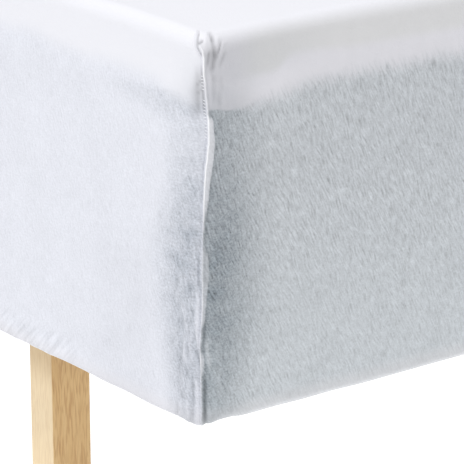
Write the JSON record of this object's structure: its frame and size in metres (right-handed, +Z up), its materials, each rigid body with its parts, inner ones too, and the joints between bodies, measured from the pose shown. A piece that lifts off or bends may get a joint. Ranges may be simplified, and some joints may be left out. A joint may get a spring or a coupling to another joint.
{
  "type": "fitted sheet on a mattress base with legs",
  "caption": "Thin white fitted sheet stretched over a single mattress base and its pad, with sewn corner seams and a hem turned in under the base, on square beech legs.",
  "frame": {"origin": "centre of the bed's footprint, on the floor that the legs stand on", "axes": "+Z up, +Y along the bed from its foot end to its head end, +X across it"},
  "size_m": [0.911, 2.0108, 0.5383],
  "materials": {
    "sheet_jersey": "thin matt knitted cotton, slightly see-through",
    "pad_cover": "matt white quilted cover",
    "base_cover": "matt grey-blue upholstery cloth",
    "leg_beech": "satin lacquered beech"
  },
  "bodies": {
    "root": {"fitted_sheet": "sheet_jersey", "mattress_pad": "pad_cover", "mattress_base": "base_cover", "leg_foot_left": "leg_beech", "leg_foot_right": "leg_beech", "leg_head_left": "leg_beech", "leg_head_right": "leg_beech"}
  },
  "joints": []
}
